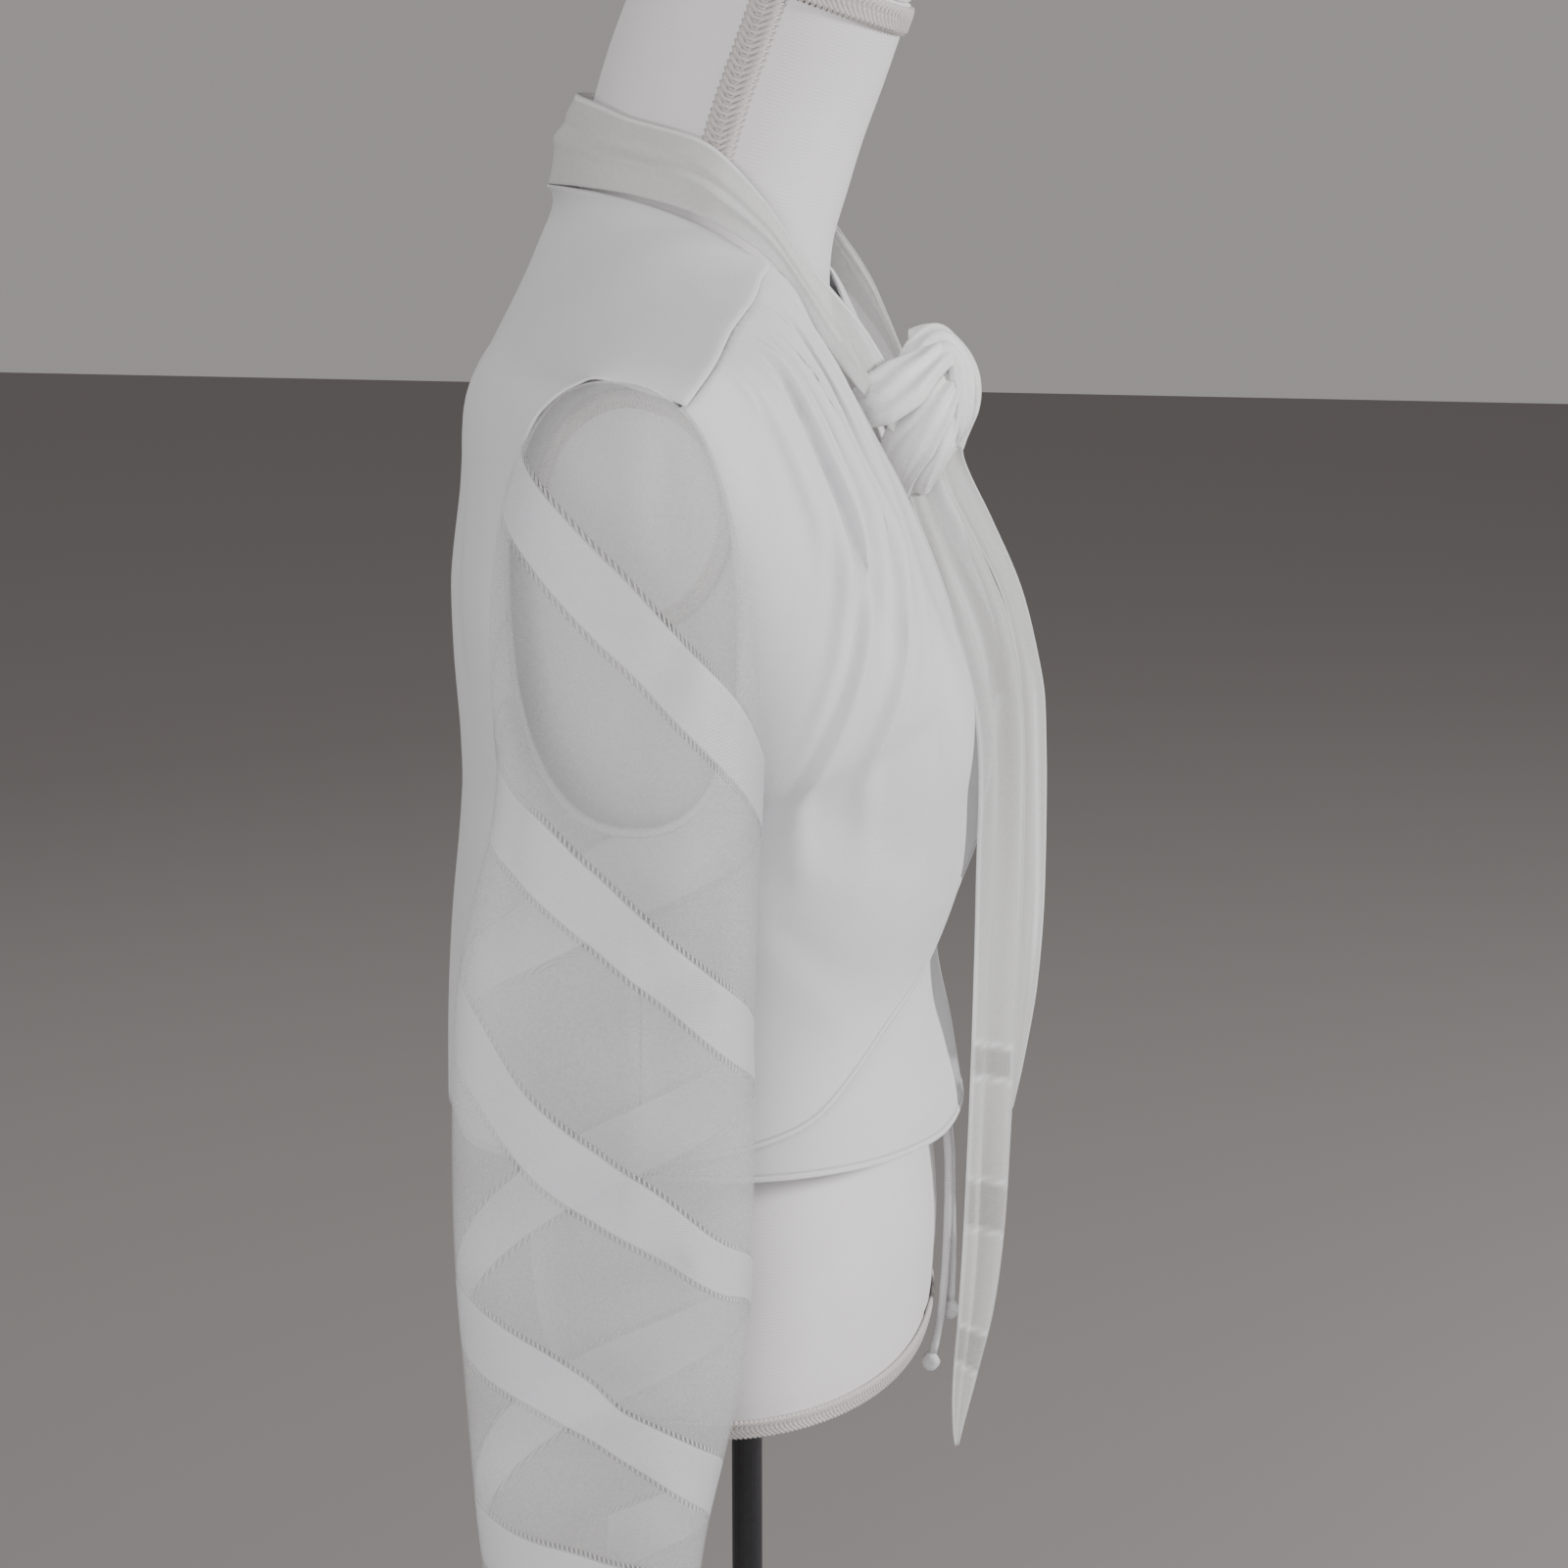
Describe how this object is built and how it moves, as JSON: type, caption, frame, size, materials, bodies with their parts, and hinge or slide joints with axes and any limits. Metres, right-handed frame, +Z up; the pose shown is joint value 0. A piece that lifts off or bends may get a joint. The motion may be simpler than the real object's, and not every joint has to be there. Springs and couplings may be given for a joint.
{
  "type": "v-neck blouse on dress form",
  "caption": "Tie-neck surplice v-neck blouse with sheer band-striped sleeves, gathered shoulders and a petal hem, worn by a limbless dress form on a pole stand.",
  "frame": {"origin": "on the floor under the pole, at the centre of the round base", "axes": "+Z up, the wearer's left towards +X, the front towards -Y"},
  "size_m": [0.4856, 0.35, 1.2706],
  "materials": {
    "cloth": "matte, fine plain weave",
    "sheer": "sheer crepe, matte",
    "band": "satin weave",
    "cover": "coarse woven form cover",
    "braid": "looped gimp braid",
    "pole": "satin black"
  },
  "bodies": {
    "root": {"stand_base": "pole", "stand_pole": "pole", "stand_socket": "pole", "form_torso": "cover", "form_neck_cap": "cover", "form_arm_plate_right": "cover", "form_arm_plate_left": "cover", "form_braid_rim": "braid", "form_braid_neck_top": "braid", "form_braid_neck_right": "braid", "form_braid_neck_left": "braid", "back": "cloth", "front_right": "cloth", "front_left": "cloth", "sleeve_right": "sheer", "sleeve_band_a_right": "band", "sleeve_band_b_right": "band", "sleeve_left": "sheer", "sleeve_band_a_left": "band", "sleeve_band_b_left": "band", "tie_collar": "sheer", "tie_knot": "sheer", "tie_tail_right": "sheer", "tie_tail_left": "sheer", "waist_cord_right": "cloth", "waist_cord_right_knot": "cloth", "waist_cord_left": "cloth", "waist_cord_left_knot": "cloth"}
  },
  "joints": []
}
